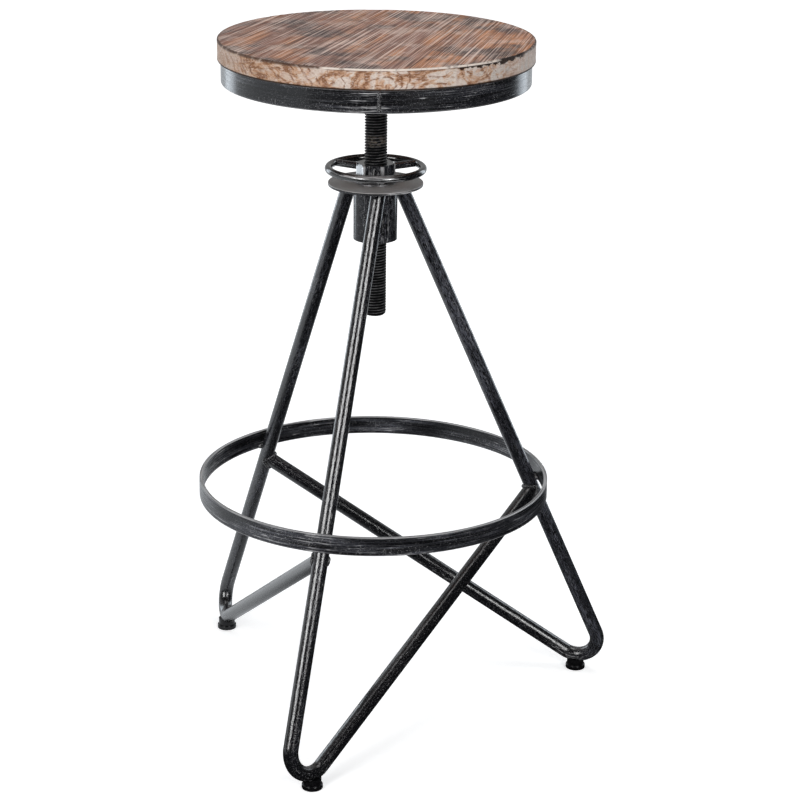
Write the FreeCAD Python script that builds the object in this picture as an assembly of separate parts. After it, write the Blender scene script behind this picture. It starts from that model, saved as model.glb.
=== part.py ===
import FreeCAD, Part
import math
import os
from FreeCAD import Vector

# Bar stool: a round plank seat on a steel hoop, raised by a threaded post.
# Millimetres. The origin is on the floor, on the seat's axis. +Z is up and -Y is the front.

# Heights above the floor, with the seat in the middle of its travel
seat_height = 737.0
plate_height = 585.0
footrest_height = 259.6
arm_height = 229.3
screw_end_height = 441.0

# Seat of boards glued edge to edge
seat_diameter = 328.0
seat_thickness = 21.5
seat_edge_bevel = 1.2
board_count = 4
grain_angle = 73.0

# Rolled flat bar under the seat's rim
hoop_inset = 3.5
hoop_height = 23.2
hoop_wall = 4.0
hoop_seam_angle = 271.0
bar_edge_round = 0.8

# Flat bars across the hoop, under the boards
cross_bar_width = 30.0
cross_bar_thickness = 5.0

# Disc that joins the post to the cross bars
flange_diameter = 70.0
flange_thickness = 6.0
spigot_diameter = 18.0

# Wood screws up through the cross bars
wood_screw_diameter = 5.0
wood_screw_head = 9.5
wood_screw_head_height = 3.0
wood_screw_bite = 15.0
wood_screw_clearance = 1.0

# Coarse thread of the post and its nut
thread_diameter = 24.0
thread_pitch = 3.0
thread_depth = 1.62
thread_crest = 0.375
thread_root = 0.75
thread_play = 0.3
thread_side_play = 0.2
screw_end_chamfer = 2.5

# Handwheel: a hexagon nut with spokes and a rim of round bar
nut_across_flats = 36.0
nut_height = 19.0
nut_flat_angle = 261.0
nut_chamfer = 1.4
wheel_radius = 49.5
wheel_bar = 8.0
wheel_rise = 14.5
spoke_count = 3
spoke_bar = 7.5
spoke_angle = 270.0

# Washer that the nut turns on
washer_diameter = 44.0
washer_thickness = 1.5
washer_play = 0.5

# Top plate, guide sleeve and the two bushes in it
plate_diameter = 100.0
plate_thickness = 3.0
plate_hole_play = 1.5
plate_edge_round = 0.6
sleeve_diameter = 46.2
sleeve_wall = 3.0
sleeve_length = 58.0
bush_length = 16.0
bush_play = 0.3

# Legs: each tube comes down from the plate, bends at the foot and rises to the next leg
leg_count = 3
tube_diameter = 16.0
tube_wall = 1.5
bend_radius = 25.0
leg_top_radius = 29.5
leg_top_angle = 276.2
leg_corner_radius = 288.0
leg_corner_angle = 251.15
arm_short = 2.0

# Footrest: a ring of flat bar outside the legs
footrest_bar_height = 20.0
footrest_bar = 4.0
footrest_gap = 0.2

# Foot glides pushed into the bends
foot_diameter = 22.0
foot_height = 8.8
foot_step = 5.2
foot_neck_diameter = 19.0
foot_cradle = 3.4
foot_edge_round = 1.0
foot_stem_diameter = 8.0
foot_stem_length = 8.0

# Fits and welds
seat_gap = 0.05
weld_gap = 0.1
weld_size = 3.0
weld_run = 6.0

axis_z = Vector(0, 0, 1)
centre = Vector(0, 0, 0)
leg_step = 360.0 / leg_count
tube_radius = tube_diameter / 2
thread_radius = thread_diameter / 2
hoop_radius = seat_diameter / 2 - hoop_inset
hoop_inner = hoop_radius - hoop_wall
seat_bottom = seat_height - seat_thickness
bar_bottom = seat_bottom - cross_bar_thickness
flange_bottom = bar_bottom - flange_thickness
plate_bottom = plate_height - plate_thickness
nut_bottom = plate_height + washer_thickness
wheel_height = plate_height + wheel_rise
footrest_bottom = footrest_height - footrest_bar_height
board_width = seat_diameter / board_count
across_angle = grain_angle + 90.0


def polar(radius, angle, height):
    a = math.radians(angle)
    return Vector(radius * math.cos(a), radius * math.sin(a), height)


def spun(shape, angle):
    copy = shape.copy()
    copy.rotate(centre, axis_z, angle)
    return copy


def around(shape, count):
    return [spun(shape, k * 360.0 / count) for k in range(count)]


def upright(radius, bottom, top, x=0.0, y=0.0):
    return Part.makeCylinder(radius, top - bottom, Vector(x, y, bottom))


def pipe(outer, inner, bottom, top):
    return upright(outer, bottom, top).cut(upright(inner, bottom, top))


def rod(start, end, radius):
    return Part.makeCylinder(radius, start.distanceToPoint(end), start, end - start)


def strip(length, width, bottom, top, x=0.0):
    """A flat bar along X that starts at x and is centred on Y."""
    return Part.makeBox(length, width, top - bottom, Vector(x, -width / 2, bottom))


def round_edges(shape):
    return [e for e in shape.Edges if isinstance(e.Curve, Part.Circle)]


def round_rims(shape, size):
    """Round every circular edge of a flat ring or disc."""
    return shape.makeFillet(size, round_edges(shape))


def save(name, shapes):
    solids = [s for shape in shapes for s in shape.Solids]
    out = solids[0] if len(solids) == 1 else Part.Compound(solids)
    out.exportStep("parts/" + name + ".step")


def helix_turn(radius, height):
    edge = Part.makeHelix(thread_pitch, thread_pitch, radius).Edges[0]
    edge.translate(Vector(0, 0, height))
    return edge


def threaded_rod(root_radius, crest_radius, root, crest, first_turn, turns):
    """A solid thread. Its crest is half a pitch above each whole turn at angle zero."""
    flank = (thread_pitch - root - crest) / 2
    base = first_turn * thread_pitch - root / 2
    corners = [
        (root_radius, 0.0),
        (root_radius, root),
        (crest_radius, root + flank),
        (crest_radius, root + flank + crest),
        (root_radius, thread_pitch),
    ]
    strips = []
    for (r1, z1), (r2, z2) in zip(corners, corners[1:]):
        low = helix_turn(r1, base + z1)
        strips.append(Part.makeRuledSurface(low, helix_turn(r2, base + z2)))
    faces = []
    for turn in range(turns):
        rise = Vector(0, 0, turn * thread_pitch)
        faces += [s.translated(rise) for s in strips]
    middle = Part.makeLine(Vector(0, 0, base), Vector(0, 0, base + thread_pitch))
    ramp = Part.makeRuledSurface(helix_turn(root_radius, base), middle)
    ring = [Vector(r, 0, base + z) for r, z in corners]
    ring += [Vector(0, 0, base + thread_pitch), Vector(0, 0, base)]
    step = Part.Face(Part.makePolygon(ring + ring[:1]))
    for end in (0, turns * thread_pitch):
        faces += [f.translated(Vector(0, 0, end)) for f in (ramp, step)]
    skin = Part.Compound(faces)
    sewing = 1e-5
    skin.sewShape(sewing)
    solid = Part.makeSolid(skin if skin.ShapeType == "Shell" else skin.Shells[0])
    if solid.Volume < 0:
        solid.reverse()
    return solid


def lead_screw():
    """Threaded post with a chamfered lower end and a plain spigot for the flange."""
    first = math.floor(screw_end_height / thread_pitch) - 2
    last = math.ceil(flange_bottom / thread_pitch) + 2
    root_radius = thread_radius - thread_depth
    thread = threaded_rod(root_radius, thread_radius, thread_root, thread_crest, first, last - first)
    blank = upright(thread_radius + thread_play, screw_end_height, flange_bottom)
    lower_rim = [e for e in blank.Edges if e.BoundBox.ZMax < screw_end_height + thread_play]
    blank = blank.makeChamfer(screw_end_chamfer, lower_rim)
    spigot = upright(spigot_diameter / 2, flange_bottom, bar_bottom)
    return thread.common(blank).fuse(spigot)


def handwheel_nut():
    corner = nut_across_flats / math.sqrt(3)
    top = nut_bottom + nut_height
    corners = [polar(corner, nut_flat_angle + 30 + 60 * k, nut_bottom) for k in range(7)]
    prism = Part.Face(Part.makePolygon(corners)).extrude(axis_z * nut_height)
    blank = upright(corner, nut_bottom, top)
    body = prism.common(blank.makeChamfer(nut_chamfer, round_edges(blank)))
    crest_radius = thread_radius + thread_play
    root_radius = crest_radius - thread_depth
    root = thread_root - 2 * thread_side_play
    crest = thread_crest + 2 * thread_side_play
    first = math.floor(nut_bottom / thread_pitch) - 2
    last = math.ceil(top / thread_pitch) + 2
    tap = threaded_rod(root_radius, crest_radius, root, crest, first, last - first)
    mouth = crest_radius + thread_play
    for level, way in ((nut_bottom, 1), (top, -1)):
        sink = Part.makeCone(mouth, root_radius, mouth - root_radius, Vector(0, 0, level), axis_z * way)
        body = body.cut(sink)
    return body.cut(tap)


def wheel_rim():
    return Part.makeTorus(wheel_radius, wheel_bar / 2, Vector(0, 0, wheel_height))


def handwheel_spokes():
    """Round bars from the nut's flats to the rim, shaped to both."""
    corner = nut_across_flats / math.sqrt(3)
    corners = [polar(corner + weld_gap, nut_flat_angle + 30 + 60 * k, nut_bottom) for k in range(7)]
    nut = Part.Face(Part.makePolygon(corners)).extrude(axis_z * nut_height)
    start = polar(nut_across_flats / 4, spoke_angle, wheel_height)
    bar = rod(start, polar(wheel_radius, spoke_angle, wheel_height), spoke_bar / 2)
    rim = Part.makeTorus(wheel_radius, wheel_bar / 2 + weld_gap, Vector(0, 0, wheel_height))
    return around(bar.cut(nut).cut(rim), spoke_count)


def top_plate():
    plate = upright(plate_diameter / 2, plate_bottom, plate_height)
    hole = upright(thread_radius + plate_hole_play, plate_bottom, plate_height)
    return round_rims(plate, plate_edge_round).cut(hole)


def thrust_washer():
    return pipe(washer_diameter / 2, thread_radius + washer_play, plate_height, nut_bottom)


def guide_sleeve():
    outer = sleeve_diameter / 2
    return pipe(outer, outer - sleeve_wall, plate_bottom - sleeve_length, plate_bottom)


def guide_bush(bottom):
    outer = sleeve_diameter / 2 - sleeve_wall - seat_gap
    return pipe(outer, thread_radius + bush_play, bottom, bottom + bush_length)


class Leg:
    """Centre line of one leg tube, with its bend set so that the glide stands on the floor."""

    def __init__(self):
        self.top = polar(leg_top_radius, leg_top_angle, plate_bottom)
        lowest = foot_height + tube_radius
        height = 0.0
        settling_rounds = 20
        for _ in range(settling_rounds):
            self.place(height)
            height += lowest - self.foot.z
        self.place(height)

    def place(self, height):
        self.corner = polar(leg_corner_radius, leg_corner_angle, height)
        self.up = (self.top - self.corner).normalize()
        self.joint = Part.Vertex(self.at(arm_height))
        self.joint = spun(self.joint, leg_step).Point
        self.along = (self.joint - self.corner).normalize()
        half = self.up.getAngle(self.along) / 2
        inward = (self.up + self.along).normalize()
        self.bend_centre = self.corner + inward * (bend_radius / math.sin(half))
        self.bend_middle = self.bend_centre - inward * bend_radius
        self.tangent = bend_radius / math.tan(half)
        normal = self.up.cross(self.along).normalize()
        down = (normal * normal.z - axis_z).normalize()
        self.foot = self.bend_centre + down * bend_radius

    def at(self, height):
        """The point of the straight main run at a height."""
        return self.corner + self.up * ((height - self.corner.z) / self.up.z)

    def lean(self):
        return math.acos(self.up.z)

    def run(self, radius):
        """The main run alone as a solid rod, past the plate."""
        start = self.corner + self.up * self.tangent
        return rod(start, self.at(plate_height + tube_diameter), radius)

    def arm(self, radius):
        start = self.corner + self.along * self.tangent
        return rod(start, self.joint, radius)

    def swept(self, radius):
        """The whole tube path as a solid of one round section."""
        start = self.at(plate_height + tube_diameter)
        bend_start = self.corner + self.up * self.tangent
        bend_end = self.corner + self.along * self.tangent
        runs = [
            Part.makeLine(start, bend_start),
            Part.Arc(bend_start, self.bend_middle, bend_end).toShape(),
            Part.makeLine(bend_end, self.joint - self.along * arm_short),
        ]
        section = Part.Wire(Part.makeCircle(radius, start, self.up))
        return Part.Wire(runs).makePipe(Part.Face(section))


leg = Leg()
footrest_inner = math.hypot(leg.at(footrest_bottom).x, leg.at(footrest_bottom).y)
footrest_inner += tube_radius / math.cos(leg.lean()) + footrest_gap


def above(height):
    size = 2 * leg_corner_radius
    return upright(size, height, height + size)


def leg_tube():
    """Bent tube, cut flat under the plate, shaped to the sleeve and to the next leg."""
    hollow = leg.swept(tube_radius).cut(leg.swept(tube_radius - tube_wall))
    hollow = hollow.cut(above(plate_bottom))
    sleeve_end = plate_bottom - sleeve_length
    hollow = hollow.cut(upright(sleeve_diameter / 2 + weld_gap, sleeve_end, plate_height))
    hollow = hollow.cut(spun(leg.run(tube_radius + weld_gap), leg_step))
    stem = upright(foot_stem_diameter / 2 + seat_gap, 0, leg.foot.z, leg.foot.x, leg.foot.y)
    return hollow.cut(stem)


def foot_glide():
    """Stepped plastic glide: a cradle for the tube and a stem up into it."""
    x, y = leg.foot.x, leg.foot.y
    base = round_rims(upright(foot_diameter / 2, 0, foot_step, x, y), foot_edge_round)
    neck = upright(foot_neck_diameter / 2, foot_step - foot_edge_round, foot_height + foot_cradle, x, y)
    body = base.fuse(neck).cut(leg.swept(tube_radius + seat_gap))
    body = max(body.Solids, key=lambda s: s.Volume)
    stem = upright(foot_stem_diameter / 2, foot_step, foot_height + foot_stem_length, x, y)
    return body.fuse(stem).removeSplitter()


def footrest_ring():
    ring = pipe(footrest_inner + footrest_bar, footrest_inner, footrest_bottom, footrest_height)
    return round_rims(ring, bar_edge_round)


def leg_plate_weld():
    """Bead round the top of a leg, under the plate and clear of the sleeve."""
    start = leg.at(plate_height)
    length = plate_thickness + weld_run
    wide = tube_radius + 2 * weld_size
    bead = Part.makeCone(wide, tube_radius, length / leg.up.z, start, leg.up * -1)
    bead = bead.cut(above(plate_bottom)).cut(leg.run(tube_radius + seat_gap))
    return bead.cut(upright(sleeve_diameter / 2 + seat_gap, 0, plate_height))


def arm_weld():
    """Bead where an arm meets the side of the next leg."""
    back = leg.along * -1
    wide = tube_radius + weld_size
    length = tube_diameter + weld_size
    bead = Part.makeCone(wide, tube_radius, length, leg.joint, back)
    next_leg = spun(leg.run(tube_radius + seat_gap), leg_step)
    bead = bead.cut(next_leg).cut(leg.arm(tube_radius + seat_gap))
    near = leg.joint + back * tube_radius
    return min(bead.Solids, key=lambda s: s.CenterOfMass.distanceToPoint(near))


def footrest_weld():
    """Bead between a leg and the lower inner edge of the footrest ring."""
    touch = leg.at(footrest_bottom)
    angle = math.degrees(math.atan2(touch.y, touch.x))
    middle = polar(footrest_inner - weld_size / 3, angle, footrest_bottom + weld_size)
    side = polar(tube_radius, angle + 90, 0)
    bead = rod(middle - side, middle + side, weld_size)
    for end in (middle - side, middle + side):
        bead = bead.fuse(Part.makeSphere(weld_size, end))
    wall = upright(footrest_inner - seat_gap, 0, plate_height)
    return bead.common(wall).cut(leg.run(tube_radius + seat_gap))


def wood_screw_places():
    """Screw axes: one in each board along the full bar, and a pair in each half bar."""
    places = []
    clear = (flange_diameter + wood_screw_head) / 2 + wood_screw_clearance
    for k in range(board_count):
        offset = (k + 0.5) * board_width - seat_diameter / 2
        reach = math.copysign(max(abs(offset), clear), offset)
        places.append(polar(reach, across_angle, 0))
    along = (clear + hoop_inner) / 2
    apart = cross_bar_width / 3
    for way in (-1, 1):
        for side in (-1, 1):
            middle = polar(way * along, grain_angle, 0)
            places.append(middle + polar(side * apart, across_angle, 0))
    return places


def at_screws(radius, bottom, top):
    return [upright(radius, bottom, top, p.x, p.y) for p in wood_screw_places()]


def seat_boards():
    """The seat's round outline cut along the grain into boards, with bevelled outer edges."""
    rim = Part.makeCircle(seat_diameter / 2, Vector(0, 0, seat_bottom))
    outline = spun(Part.Face(Part.Wire(rim)), grain_angle)
    holes = at_screws(wood_screw_diameter / 2 + seat_gap, seat_bottom, seat_bottom + wood_screw_bite)
    boards = []
    for k in range(board_count):
        low = k * board_width - seat_diameter / 2
        high = low + board_width
        if k == 0:
            low -= board_width
        if k == board_count - 1:
            high += board_width
        plank = Part.makePlane(2 * seat_diameter, high - low, Vector(-seat_diameter, low, seat_bottom))
        face = outline.common(spun(plank, grain_angle)).Faces[0]
        board = face.extrude(axis_z * seat_thickness)
        board = board.makeChamfer(seat_edge_bevel, round_edges(board))
        boards.append(board.cut(Part.Compound(holes)))
    return boards


def seat_screws():
    head_bottom = bar_bottom - wood_screw_head_height
    shanks = at_screws(wood_screw_diameter / 2, bar_bottom, seat_bottom + wood_screw_bite)
    heads = at_screws(wood_screw_head / 2, head_bottom, bar_bottom)
    return [h.fuse(s) for h, s in zip(heads, shanks)]


def drilled(bar):
    holes = at_screws(wood_screw_diameter / 2 + weld_gap, bar_bottom, seat_bottom)
    return bar.cut(Part.Compound(holes))


def inside_hoop(bar):
    return bar.common(upright(hoop_inner - weld_gap, flange_bottom, seat_bottom))


def cross_bar():
    bar = strip(seat_diameter, cross_bar_width, bar_bottom, seat_bottom, -seat_diameter / 2)
    return drilled(inside_hoop(spun(bar, across_angle)))


def cross_bar_halves():
    start = cross_bar_width / 2 + weld_gap
    bar = strip(seat_diameter, cross_bar_width, bar_bottom, seat_bottom, start)
    return [drilled(inside_hoop(spun(bar, grain_angle + turn))) for turn in (0, 180)]


def seat_hoop():
    ring = pipe(hoop_radius, hoop_inner, seat_bottom - hoop_height, seat_bottom)
    return round_rims(ring, bar_edge_round)


def seat_flange():
    return pipe(flange_diameter / 2, spigot_diameter / 2 + seat_gap, flange_bottom, bar_bottom)


def seat_frame_welds():
    """Beads under the ends of the cross bars, and the hoop's upright seam."""
    reach = hoop_inner - weld_gap
    half = cross_bar_width / 2 - weld_size
    bead = rod(Vector(reach, -half, bar_bottom), Vector(reach, half, bar_bottom), weld_size)
    bead = bead.common(upright(reach, 0, bar_bottom))
    beads = [spun(bead, grain_angle + 90 * k) for k in range(4)]
    middle = polar(hoop_radius - weld_size + bar_edge_round, hoop_seam_angle, 0)
    hoop_bottom = seat_bottom - hoop_height
    low = hoop_bottom + bar_edge_round
    seam = upright(weld_size, low, seat_bottom - bar_edge_round, middle.x, middle.y)
    return beads + [seam.cut(upright(hoop_radius + seat_gap, hoop_bottom, seat_bottom))]


os.makedirs("parts", exist_ok=True)

save("top_plate", [top_plate()])
save("guide_sleeve", [guide_sleeve()])
save("guide_bush_upper", [guide_bush(plate_bottom - bush_length)])
save("guide_bush_lower", [guide_bush(plate_bottom - sleeve_length)])
for number, tube in enumerate(around(leg_tube(), leg_count), 1):
    save("leg_tube_" + str(number), [tube])
for number, glide in enumerate(around(foot_glide(), leg_count), 1):
    save("foot_glide_" + str(number), [glide])
save("footrest_ring", [footrest_ring()])
save("leg_plate_welds", around(leg_plate_weld(), leg_count))
save("arm_welds", around(arm_weld(), leg_count))
save("footrest_welds", around(footrest_weld(), leg_count))
save("thrust_washer", [thrust_washer()])
save("handwheel_nut", [handwheel_nut()])
save("handwheel_rim", [wheel_rim()])
save("handwheel_spokes", handwheel_spokes())
save("lead_screw", [lead_screw()])
save("seat_flange", [seat_flange()])
save("cross_bar", [cross_bar()])
save("cross_bar_halves", cross_bar_halves())
save("seat_hoop", [seat_hoop()])
for number, board in enumerate(seat_boards(), 1):
    save("seat_board_" + str(number), [board])
save("seat_screws", seat_screws())
save("seat_frame_welds", seat_frame_welds())
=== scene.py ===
import math

import bmesh
import bpy
from mathutils import Matrix, Vector, noise


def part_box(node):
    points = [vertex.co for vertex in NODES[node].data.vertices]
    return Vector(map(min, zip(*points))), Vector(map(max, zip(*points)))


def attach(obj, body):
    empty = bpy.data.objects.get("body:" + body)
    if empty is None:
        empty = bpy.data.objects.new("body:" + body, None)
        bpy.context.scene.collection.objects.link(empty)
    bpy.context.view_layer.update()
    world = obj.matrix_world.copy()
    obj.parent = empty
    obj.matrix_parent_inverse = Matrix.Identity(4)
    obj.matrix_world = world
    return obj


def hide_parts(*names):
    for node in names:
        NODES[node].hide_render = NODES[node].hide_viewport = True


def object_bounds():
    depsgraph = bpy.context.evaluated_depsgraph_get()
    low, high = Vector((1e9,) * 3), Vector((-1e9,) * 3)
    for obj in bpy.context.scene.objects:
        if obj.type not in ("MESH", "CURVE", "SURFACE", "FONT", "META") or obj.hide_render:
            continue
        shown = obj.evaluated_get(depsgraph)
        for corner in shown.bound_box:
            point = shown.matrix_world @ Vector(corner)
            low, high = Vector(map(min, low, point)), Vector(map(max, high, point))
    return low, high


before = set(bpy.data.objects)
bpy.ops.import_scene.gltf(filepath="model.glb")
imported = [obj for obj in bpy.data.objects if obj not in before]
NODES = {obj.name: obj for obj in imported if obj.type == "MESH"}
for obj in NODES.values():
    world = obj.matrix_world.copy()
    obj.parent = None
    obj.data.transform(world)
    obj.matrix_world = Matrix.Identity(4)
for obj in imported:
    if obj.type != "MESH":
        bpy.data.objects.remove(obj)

bl_info = {
    "name": "Bar stool finish",
    "version": (1, 0, 0),
    "blender": (4, 5, 0),
    "location": "View3D > Sidebar > Stool",
    "description": "Plank seat, rubbed black steel, welds and studio of the bar stool",
    "category": "Object",
}

CAD_BOX = [list(corner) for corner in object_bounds()]
SEAT_LOW, SEAT_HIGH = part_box("seat_hoop")[1][2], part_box("seat_board_2")[1][2]
PLATE_LOW, PLATE_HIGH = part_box("top_plate")[0][2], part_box("top_plate")[1][2]
RING_LOW, RING_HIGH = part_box("footrest_ring")[0][2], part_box("footrest_ring")[1][2]
HOOP_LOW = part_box("seat_hoop")[0][2]

LEGS = 3
BEND_AT = 0.66  # length along a leg's tube at which its foot bend lies
BAR_THICKNESS = 0.004  # flat bar of the footrest ring
THREAD_CREST = (0.0113, 0.01195)  # radii between which a turn of the thread becomes its crest
RINGS_PER_METRE = 125.0  # growth rings across a board
DROP_SEGMENTS, DROP_RINGS = 10, 7  # mesh of one drop of a weld bead
DROP_SIZES = (0.8, 1.15)  # smallest and largest drop, as a share of the bead's radius
DROP_HEIGHT = 0.62  # flatness of a drop
DROP_SPACING = 0.62  # distance between drops, as a share of the bead's radius


class StoolSizes(bpy.types.PropertyGroup):
    """Sizes of the pieces made here; they repeat the frame's own."""

    seat_radius: bpy.props.FloatProperty(
        name="Seat radius", description="Outer radius of the plank seat",
        default=0.164, unit="LENGTH", precision=4)
    grain_angle: bpy.props.FloatProperty(
        name="Grain angle", description="Direction of the boards' grain seen from above",
        default=math.radians(73), subtype="ANGLE")
    tube_radius: bpy.props.FloatProperty(
        name="Tube radius", description="Outer radius of the leg tube",
        default=0.008, unit="LENGTH", precision=4)
    bend_radius: bpy.props.FloatProperty(
        name="Bend radius", description="Centre-line radius of the bend at a foot",
        default=0.025, unit="LENGTH", precision=4)
    leg_top: bpy.props.FloatVectorProperty(
        name="Leg top", description="Radius, angle in degrees and height of a leg's line under the plate",
        default=(0.0295, 276.2, 0.582))
    leg_corner: bpy.props.FloatVectorProperty(
        name="Leg corner", description="Radius, angle in degrees and height where leg and arm lines cross",
        default=(0.288, 251.15, -0.01757))
    leg_joint: bpy.props.FloatVectorProperty(
        name="Arm end", description="Radius, angle in degrees and height where an arm meets the next leg",
        default=(0.1805, 12.78, 0.2293))
    worn_height: bpy.props.FloatProperty(
        name="Worn height", description="Height of the most worn turns of the post's thread",
        default=0.63, unit="LENGTH", precision=4)
    weld_radius: bpy.props.FloatProperty(
        name="Weld size", description="Radius of a weld bead",
        default=0.0026, unit="LENGTH", precision=4)


class StoolColours(bpy.types.PropertyGroup):
    """Finishes that a user would change."""

    paint: bpy.props.FloatVectorProperty(
        name="Paint", description="Black paint on the steel",
        default=(0.0017, 0.0018, 0.0026), subtype="COLOR")
    haze: bpy.props.FloatVectorProperty(
        name="Thin paint", description="Greyer paint where the brush left less of it",
        default=(0.062, 0.065, 0.08), subtype="COLOR")
    rubbed: bpy.props.FloatVectorProperty(
        name="Rubbed silver", description="Silver that shows where the paint is rubbed back",
        default=(0.5, 0.5, 0.51), subtype="COLOR")
    # painted light: the plate's top is grey steel set pale so it stays bright in the shade under the seat
    # and handwheel
    plate_grey: bpy.props.FloatVectorProperty(
        name="Plate grey", description="Bare grey top of the plate under the handwheel",
        default=(0.31, 0.303, 0.298), subtype="COLOR")
    wood_brown: bpy.props.FloatVectorProperty(
        name="Brown stain", description="Main stain of the seat's top",
        default=(0.34, 0.178, 0.137), subtype="COLOR")
    wood_orange: bpy.props.FloatVectorProperty(
        name="Orange wood", description="Warm wood that shows through the stain",
        default=(0.65, 0.285, 0.135), subtype="COLOR")
    wood_slate: bpy.props.FloatVectorProperty(
        name="Slate wash", description="Blue-grey clouds in the stain",
        default=(0.095, 0.084, 0.086), subtype="COLOR")
    wood_dark: bpy.props.FloatVectorProperty(
        name="Dark pores", description="Dark lines of the late wood",
        default=(0.055, 0.032, 0.026), subtype="COLOR")
    wood_chalk: bpy.props.FloatVectorProperty(
        name="Limed pores", description="Pale wash left in the pores",
        default=(0.82, 0.65, 0.57), subtype="COLOR")
    edge_cream: bpy.props.FloatVectorProperty(
        name="Limed edge", description="Pale wash on the seat's edge",
        default=(0.53, 0.466, 0.415), subtype="COLOR")
    edge_rust: bpy.props.FloatVectorProperty(
        name="Edge flames", description="Red-brown wood that shows through the limed edge",
        default=(0.16, 0.065, 0.032), subtype="COLOR")
    edge_tan: bpy.props.FloatVectorProperty(
        name="Edge tan", description="Yellow-brown wood round the red-brown flames",
        default=(0.43, 0.245, 0.14), subtype="COLOR")


class StoolStudio(bpy.types.PropertyGroup):
    """Camera and light."""

    camera_place: bpy.props.FloatVectorProperty(
        name="Camera", description="Where the camera stands",
        default=(0.0, -2.5599, 1.2198), unit="LENGTH")
    camera_pitch: bpy.props.FloatProperty(
        name="Pitch", description="How far the camera looks down",
        default=math.radians(18.890), subtype="ANGLE")
    camera_yaw: bpy.props.FloatProperty(
        name="Yaw", description="How far the camera is turned to the right",
        default=math.radians(0.627), subtype="ANGLE")
    camera_roll: bpy.props.FloatProperty(
        name="Roll", description="How far the camera is tipped",
        default=math.radians(0.633), subtype="ANGLE")
    lens: bpy.props.FloatProperty(
        name="Lens", description="Focal length on a 36 mm wide sensor",
        default=112.99, unit="CAMERA")
    dome: bpy.props.FloatProperty(
        name="Dome light", description="Strength of the even light", default=0.12)


def settings():
    scene = bpy.context.scene
    return scene.stool_sizes, scene.stool_colours, scene.stool_studio


def polar(radius, degrees, height):
    angle = math.radians(degrees)
    return Vector((radius * math.cos(angle), radius * math.sin(angle), height))


def turned(point, degrees):
    return Matrix.Rotation(math.radians(degrees), 3, "Z") @ point


def lerp(a, b, t):
    return a + (b - a) * t


def ease(value, low, high):
    """0 at low and 1 at high, with a soft start and end."""
    t = min(max((value - low) / (high - low), 0.0), 1.0)
    return t * t * (3 - 2 * t)


def tint(colour, factor):
    """A colour made lighter or darker."""
    return [c * factor for c in colour]


def spread(axis, count):
    """Unit vectors all round an axis."""
    side = axis.orthogonal().normalized()
    across = axis.cross(side)
    angles = [math.tau * k / count for k in range(count)]
    return [side * math.cos(a) + across * math.sin(a) for a in angles]


def put(name, data):
    """A new object in the scene."""
    made = bpy.data.objects.new(name, data)
    bpy.context.scene.collection.objects.link(made)
    return made


class Web:
    """Adds nodes to one tree and wires them."""

    def __init__(self, tree):
        self.tree = tree

    def feed(self, node, values):
        """Set a node's inputs: a socket is wired, anything else becomes the input's own value."""
        for key, value in values.items():
            if isinstance(value, bpy.types.NodeSocket):
                self.tree.links.new(value, node.inputs[key])
            else:
                node.inputs[key].default_value = value

    def add(self, kind, values=None, **options):
        made = self.tree.nodes.new(kind)
        for key, value in options.items():
            setattr(made, key, value)
        self.feed(made, values or {})
        return made

    def math(self, how, a, b=0.0, c=0.0):
        return self.add("ShaderNodeMath", {0: a, 1: b, 2: c}, operation=how).outputs[0]

    def plus(self, a, b):
        return self.math("ADD", a, b)

    def minus(self, a, b):
        return self.math("SUBTRACT", a, b)

    def times(self, a, b):
        return self.math("MULTIPLY", a, b)

    def times_plus(self, a, b, c):
        return self.math("MULTIPLY_ADD", a, b, c)

    def highest(self, a, b):
        return self.math("MAXIMUM", a, b)

    def apart(self, a, b):
        return self.math("ABSOLUTE", self.minus(a, b))

    def hypot(self, a, b):
        return self.math("SQRT", self.plus(self.times(a, a), self.times(b, b)))

    def vector(self, how, a, b=(0.0, 0.0, 0.0)):
        made = self.add("ShaderNodeVectorMath", {0: a, 1: b}, operation=how)
        return made.outputs["Value" if how in ("DOT_PRODUCT", "LENGTH") else "Vector"]

    def split(self, vector):
        return self.add("ShaderNodeSeparateXYZ", {0: vector}).outputs

    def join(self, x, y, z):
        return self.add("ShaderNodeCombineXYZ", {0: x, 1: y, 2: z}).outputs[0]

    def scaled(self, axes, factors):
        """A vector of three values, each times its own factor."""
        return self.join(*[self.times(axis, factor) for axis, factor in zip(axes, factors)])

    def noise(self, vector, scale=1.0, detail=3.0, rough=0.55, warp=0.0, w=None):
        values = {
            "Vector": vector, "Scale": scale, "Detail": detail, "Roughness": rough, "Distortion": warp}
        if w is not None:
            values["W"] = w
        size = "3D" if w is None else "4D"
        return self.add("ShaderNodeTexNoise", values, noise_dimensions=size).outputs["Fac"]

    def step(self, value, low, high, start=0.0, end=1.0):
        """Goes softly from start to end while the value goes from low to high."""
        values = {"Value": value, "From Min": low, "From Max": high, "To Min": start, "To Max": end}
        return self.add("ShaderNodeMapRange", values, interpolation_type="SMOOTHSTEP").outputs[0]

    def mix(self, factor, a, b):
        """Colour a, or b where the factor is 1."""
        a, b = [c if isinstance(c, bpy.types.NodeSocket) else (*c[:3], 1.0) for c in (a, b)]
        return self.add("ShaderNodeMix", {0: factor, 6: a, 7: b}, data_type="RGBA").outputs[2]

    def bump(self, height, strength, distance):
        values = {"Height": height, "Strength": strength, "Distance": distance}
        return self.add("ShaderNodeBump", values).outputs[0]

    def place(self):
        return self.add("ShaderNodeTexCoord").outputs["Object"]

    def attribute(self, name, output):
        return self.add("ShaderNodeAttribute", attribute_name=name).outputs[output]


def new_material(name):
    material = bpy.data.materials.new(name)
    material.use_nodes = True
    material.node_tree.nodes.clear()
    web = Web(material.node_tree)
    shader = web.add("ShaderNodeBsdfPrincipled")
    web.add("ShaderNodeOutputMaterial", {"Surface": shader.outputs[0]})
    return material, web, shader


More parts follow.
